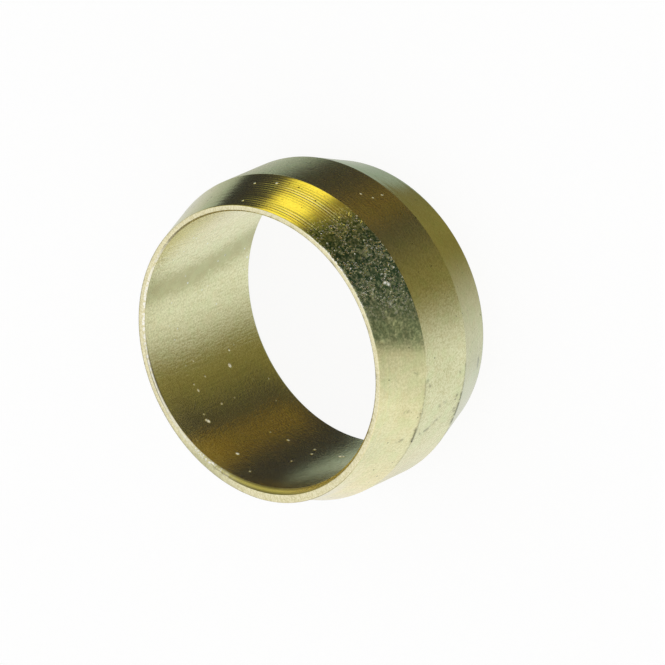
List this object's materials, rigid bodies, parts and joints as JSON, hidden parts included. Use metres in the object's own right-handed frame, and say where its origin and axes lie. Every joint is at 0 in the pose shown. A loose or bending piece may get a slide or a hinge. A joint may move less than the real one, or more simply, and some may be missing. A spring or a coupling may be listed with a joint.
{
  "type": "compression olive",
  "caption": "Turned brass ring with a plain bore, a cylindrical middle land and a cone at each end, squeezed onto a pipe by a compression nut to seal the joint.",
  "frame": {"origin": "on the bore's axis, at the lower end face that the olive stands on", "axes": "+Z along the bore's axis, from the lower end face to the upper one; X and Y across the ring, all directions alike"},
  "size_m": [0.018, 0.018, 0.0091],
  "materials": {
    "turned_brass": "bright turned, with fine tool lines round the cones and a satin bore"
  },
  "bodies": {
    "root": {"olive": "turned_brass"}
  },
  "joints": []
}
